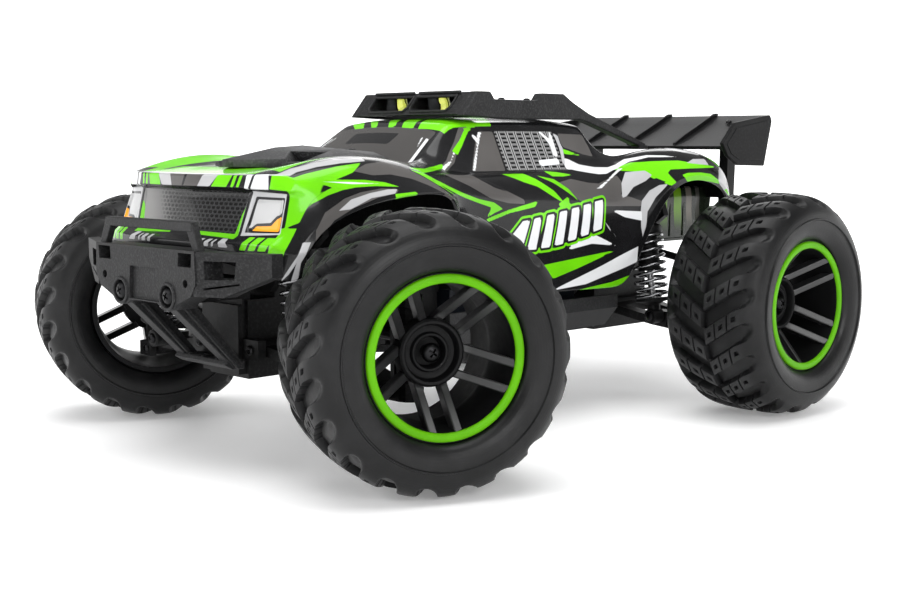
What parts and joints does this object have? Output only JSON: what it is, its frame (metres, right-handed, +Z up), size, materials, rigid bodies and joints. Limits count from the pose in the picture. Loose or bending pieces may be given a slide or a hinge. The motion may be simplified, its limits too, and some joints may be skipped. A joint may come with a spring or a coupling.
{
  "type": "radio-controlled monster truck",
  "caption": "Radio-controlled monster truck with painted shell, roof rack, rear wing, steering front wheels and independent sprung suspension on every wheel",
  "frame": {"origin": "on the ground under the middle of the bounding box", "axes": "+X towards the truck's left side, +Y towards its rear, +Z up; the truck faces -Y"},
  "size_m": [0.2716, 0.3251, 0.144],
  "materials": {
    "painted_shell": "thin clear shell painted inside in green, black, grey and white, glossy",
    "textured_plastic": "black moulded plastic with a fine grain",
    "black_plastic": "plain black nylon",
    "smoked_shell": "thin smoked shell with green and grey stripes",
    "satin_black": "satin black with a lime green ring on the lip",
    "tyre_rubber": "soft black rubber, matt tread and smooth sidewall",
    "dark_chrome": "dark bright plating",
    "steel": "bright steel",
    "battery_wrap": "dark shrink wrap",
    "nylon_gear": "dark moulded nylon"
  },
  "bodies": {
    "chassis": {"chassis_tub": "black_plastic", "front_gearbox": "black_plastic", "rear_gearbox": "black_plastic", "front_shock_tower": "black_plastic", "rear_shock_tower": "black_plastic", "front_bumper": "textured_plastic", "battery_pack": "battery_wrap", "electronics_box": "black_plastic", "steering_servo": "black_plastic", "drive_motor": "steel", "body_shell": "painted_shell", "rear_inner_tub": "smoked_shell", "hood_scoop": "textured_plastic", "roof_rack": "textured_plastic", "rear_wing": "textured_plastic", "wing_mount": "black_plastic"},
    "main_shaft": {"spur_gear_shaft": "nylon_gear"},
    "pinion": {"motor_pinion": "steel"},
    "rack": {"steering_rack": "black_plastic"},
    "horn": {"servo_horn": "black_plastic"},
    "left_rod": {"left_tie_rod": "black_plastic"},
    "right_rod": {"right_tie_rod": "black_plastic"},
    "front_left_arm": {"front_left_lower_arm": "black_plastic"},
    "front_left_link": {"front_left_upper_link": "black_plastic"},
    "front_left_hub": {"front_left_carrier": "black_plastic"},
    "front_left_damper": {"front_left_shock_body": "black_plastic", "front_left_spring": "dark_chrome"},
    "front_left_piston": {"front_left_shock_rod": "steel"},
    "front_left_wheel": {"front_left_wheel_axle": "steel", "front_left_rim": "satin_black", "front_left_tyre": "tyre_rubber"},
    "front_right_arm": {"front_right_lower_arm": "black_plastic"},
    "front_right_link": {"front_right_upper_link": "black_plastic"},
    "front_right_hub": {"front_right_carrier": "black_plastic"},
    "front_right_damper": {"front_right_shock_body": "black_plastic", "front_right_spring": "dark_chrome"},
    "front_right_piston": {"front_right_shock_rod": "steel"},
    "front_right_wheel": {"front_right_wheel_axle": "steel", "front_right_rim": "satin_black", "front_right_tyre": "tyre_rubber"},
    "rear_left_arm": {"rear_left_lower_arm": "black_plastic"},
    "rear_left_link": {"rear_left_upper_link": "black_plastic"},
    "rear_left_hub": {"rear_left_carrier": "black_plastic"},
    "rear_left_damper": {"rear_left_shock_body": "black_plastic", "rear_left_spring": "dark_chrome"},
    "rear_left_piston": {"rear_left_shock_rod": "steel"},
    "rear_left_wheel": {"rear_left_wheel_axle": "steel", "rear_left_rim": "satin_black", "rear_left_tyre": "tyre_rubber"},
    "rear_right_arm": {"rear_right_lower_arm": "black_plastic"},
    "rear_right_link": {"rear_right_upper_link": "black_plastic"},
    "rear_right_hub": {"rear_right_carrier": "black_plastic"},
    "rear_right_damper": {"rear_right_shock_body": "black_plastic", "rear_right_spring": "dark_chrome"},
    "rear_right_piston": {"rear_right_shock_rod": "steel"},
    "rear_right_wheel": {"rear_right_wheel_axle": "steel", "rear_right_rim": "satin_black", "rear_right_tyre": "tyre_rubber"},
    "front_left_upright": {"front_left_knuckle": "black_plastic"},
    "front_right_upright": {"front_right_knuckle": "black_plastic"}
  },
  "joints": [
    {"name": "main_shaft_spin", "type": "hinge", "parent": "chassis", "child": "main_shaft", "pos_m": [0, 0.063, 0.05], "axis": [0, 1, 0], "continuous": true},
    {"name": "pinion_spin", "type": "hinge", "parent": "chassis", "child": "pinion", "pos_m": [-0.017, 0.063, 0.0546], "axis": [0, 1, 0], "continuous": true},
    {"name": "front_left_suspension", "type": "hinge", "parent": "chassis", "child": "front_left_arm", "pos_m": [0.017, -0.104, 0.043], "axis": [0, -1, 0], "range_deg": [-7, 7], "stiffness_Nm_per_rad": 3, "springref_deg": -2.58},
    {"name": "front_left_link_swing", "type": "hinge", "parent": "chassis", "child": "front_left_link", "pos_m": [0.017, -0.104, 0.073], "axis": [0, -1, 0], "range_deg": [-8, 8]},
    {"name": "front_left_hub_swing", "type": "hinge", "parent": "front_left_arm", "child": "front_left_hub", "pos_m": [0.073, -0.104, 0.033], "axis": [0, -1, 0], "range_deg": [-8, 8]},
    {"name": "front_left_damper_swing", "type": "hinge", "parent": "chassis", "child": "front_left_damper", "pos_m": [0.043, -0.124, 0.089], "axis": [0, -1, 0], "range_deg": [-1.2, 1.2]},
    {"name": "front_left_damper_travel", "type": "slide", "parent": "front_left_damper", "child": "front_left_piston", "axis": [0.1443, 0, -0.9895], "range_m": [-0.00407, 0.00407], "deforming": ["front_left_spring"]},
    {"name": "front_right_suspension", "type": "hinge", "parent": "chassis", "child": "front_right_arm", "pos_m": [-0.017, -0.104, 0.043], "axis": [0, 1, 0], "range_deg": [-7, 7], "stiffness_Nm_per_rad": 3, "springref_deg": -2.58},
    {"name": "front_right_link_swing", "type": "hinge", "parent": "chassis", "child": "front_right_link", "pos_m": [-0.017, -0.104, 0.073], "axis": [0, 1, 0], "range_deg": [-8, 8]},
    {"name": "front_right_hub_swing", "type": "hinge", "parent": "front_right_arm", "child": "front_right_hub", "pos_m": [-0.073, -0.104, 0.033], "axis": [0, 1, 0], "range_deg": [-8, 8]},
    {"name": "front_right_damper_swing", "type": "hinge", "parent": "chassis", "child": "front_right_damper", "pos_m": [-0.043, -0.124, 0.089], "axis": [0, 1, 0], "range_deg": [-1.2, 1.2]},
    {"name": "front_right_damper_travel", "type": "slide", "parent": "front_right_damper", "child": "front_right_piston", "axis": [-0.1443, 0, -0.9895], "range_m": [-0.00407, 0.00407], "deforming": ["front_right_spring"]},
    {"name": "rear_left_suspension", "type": "hinge", "parent": "chassis", "child": "rear_left_arm", "pos_m": [0.017, 0.104, 0.043], "axis": [0, -1, 0], "range_deg": [-7, 7], "stiffness_Nm_per_rad": 3, "springref_deg": -2.58},
    {"name": "rear_left_link_swing", "type": "hinge", "parent": "chassis", "child": "rear_left_link", "pos_m": [0.017, 0.104, 0.073], "axis": [0, -1, 0], "range_deg": [-8, 8]},
    {"name": "rear_left_hub_swing", "type": "hinge", "parent": "rear_left_arm", "child": "rear_left_hub", "pos_m": [0.073, 0.104, 0.033], "axis": [0, -1, 0], "range_deg": [-8, 8]},
    {"name": "rear_left_damper_swing", "type": "hinge", "parent": "chassis", "child": "rear_left_damper", "pos_m": [0.043, 0.084, 0.089], "axis": [0, -1, 0], "range_deg": [-1.2, 1.2]},
    {"name": "rear_left_damper_travel", "type": "slide", "parent": "rear_left_damper", "child": "rear_left_piston", "axis": [0.1443, 0, -0.9895], "range_m": [-0.00407, 0.00407], "deforming": ["rear_left_spring"]},
    {"name": "rear_right_suspension", "type": "hinge", "parent": "chassis", "child": "rear_right_arm", "pos_m": [-0.017, 0.104, 0.043], "axis": [0, 1, 0], "range_deg": [-7, 7], "stiffness_Nm_per_rad": 3, "springref_deg": -2.58},
    {"name": "rear_right_link_swing", "type": "hinge", "parent": "chassis", "child": "rear_right_link", "pos_m": [-0.017, 0.104, 0.073], "axis": [0, 1, 0], "range_deg": [-8, 8]},
    {"name": "rear_right_hub_swing", "type": "hinge", "parent": "rear_right_arm", "child": "rear_right_hub", "pos_m": [-0.073, 0.104, 0.033], "axis": [0, 1, 0], "range_deg": [-8, 8]},
    {"name": "rear_right_damper_swing", "type": "hinge", "parent": "chassis", "child": "rear_right_damper", "pos_m": [-0.043, 0.084, 0.089], "axis": [0, 1, 0], "range_deg": [-1.2, 1.2]},
    {"name": "rear_right_damper_travel", "type": "slide", "parent": "rear_right_damper", "child": "rear_right_piston", "axis": [-0.1443, 0, -0.9895], "range_m": [-0.00407, 0.00407], "deforming": ["rear_right_spring"]},
    {"name": "front_left_steer", "type": "hinge", "parent": "front_left_hub", "child": "front_left_upright", "pos_m": [0.0835, -0.104, 0.05], "axis": [0, 0, 1], "range_deg": [-1.5, 45.5]},
    {"name": "left_rod_travel", "type": "slide", "parent": "front_left_arm", "child": "left_rod", "axis": [1, 0, 0], "range_m": [-0.0131, 0.0011]},
    {"name": "front_left_spin", "type": "hinge", "parent": "front_left_upright", "child": "front_left_wheel", "pos_m": [0.09741, -0.10962, 0.05], "axis": [0.9272, -0.3746, 0], "continuous": true},
    {"name": "front_right_steer", "type": "hinge", "parent": "front_right_hub", "child": "front_right_upright", "pos_m": [-0.0835, -0.104, 0.05], "axis": [0, 0, 1], "range_deg": [-2.5, 46.5]},
    {"name": "right_rod_travel", "type": "slide", "parent": "front_right_arm", "child": "right_rod", "axis": [1, 0, 0], "range_m": [-0.0131, 0.0011]},
    {"name": "front_right_spin", "type": "hinge", "parent": "front_right_upright", "child": "front_right_wheel", "pos_m": [-0.09741, -0.09838, 0.05], "axis": [0.9272, -0.3746, 0], "continuous": true},
    {"name": "rear_left_spin", "type": "hinge", "parent": "rear_left_hub", "child": "rear_left_wheel", "pos_m": [0.0985, 0.104, 0.05], "axis": [1, 0, 0], "continuous": true},
    {"name": "rear_right_spin", "type": "hinge", "parent": "rear_right_hub", "child": "rear_right_wheel", "pos_m": [-0.0985, 0.104, 0.05], "axis": [1, 0, 0], "continuous": true},
    {"name": "rack_travel", "type": "slide", "parent": "chassis", "child": "rack", "axis": [1, 0, 0], "range_m": [-0.0131, 0.0011]},
    {"name": "horn_turn", "type": "hinge", "parent": "chassis", "child": "horn", "pos_m": [0.02, -0.05, 0.0425], "axis": [0, 0, 1], "range_deg": [-36, 4]}
  ],
  "couplings": [
    {"joint": "pinion_spin", "follows": "main_shaft_spin", "ratio": -3},
    {"joint": "front_left_link_swing", "follows": "front_left_suspension", "ratio": 1},
    {"joint": "front_left_hub_swing", "follows": "front_left_suspension", "ratio": -1},
    {"joint": "front_left_damper_swing", "follows": "front_left_suspension", "ratio": 0.13897},
    {"joint": "front_left_damper_travel", "follows": "front_left_suspension", "m_per_rad": -0.032366},
    {"joint": "front_right_link_swing", "follows": "front_right_suspension", "ratio": 1},
    {"joint": "front_right_hub_swing", "follows": "front_right_suspension", "ratio": -1},
    {"joint": "front_right_damper_swing", "follows": "front_right_suspension", "ratio": 0.13897},
    {"joint": "front_right_damper_travel", "follows": "front_right_suspension", "m_per_rad": -0.032366},
    {"joint": "rear_left_link_swing", "follows": "rear_left_suspension", "ratio": 1},
    {"joint": "rear_left_hub_swing", "follows": "rear_left_suspension", "ratio": -1},
    {"joint": "rear_left_damper_swing", "follows": "rear_left_suspension", "ratio": 0.13897},
    {"joint": "rear_left_damper_travel", "follows": "rear_left_suspension", "m_per_rad": -0.032366},
    {"joint": "rear_right_link_swing", "follows": "rear_right_suspension", "ratio": 1},
    {"joint": "rear_right_hub_swing", "follows": "rear_right_suspension", "ratio": -1},
    {"joint": "rear_right_damper_swing", "follows": "rear_right_suspension", "ratio": 0.13897},
    {"joint": "rear_right_damper_travel", "follows": "rear_right_suspension", "m_per_rad": -0.032366},
    {"joint": "left_rod_travel", "follows": "front_left_steer", "m_per_rad": -0.01555},
    {"joint": "front_right_steer", "follows": "front_left_steer", "ratio": 1},
    {"joint": "right_rod_travel", "follows": "front_left_steer", "m_per_rad": -0.01555},
    {"joint": "rack_travel", "follows": "front_left_steer", "m_per_rad": -0.01555},
    {"joint": "horn_turn", "follows": "front_left_steer", "ratio": -0.73443}
  ]
}
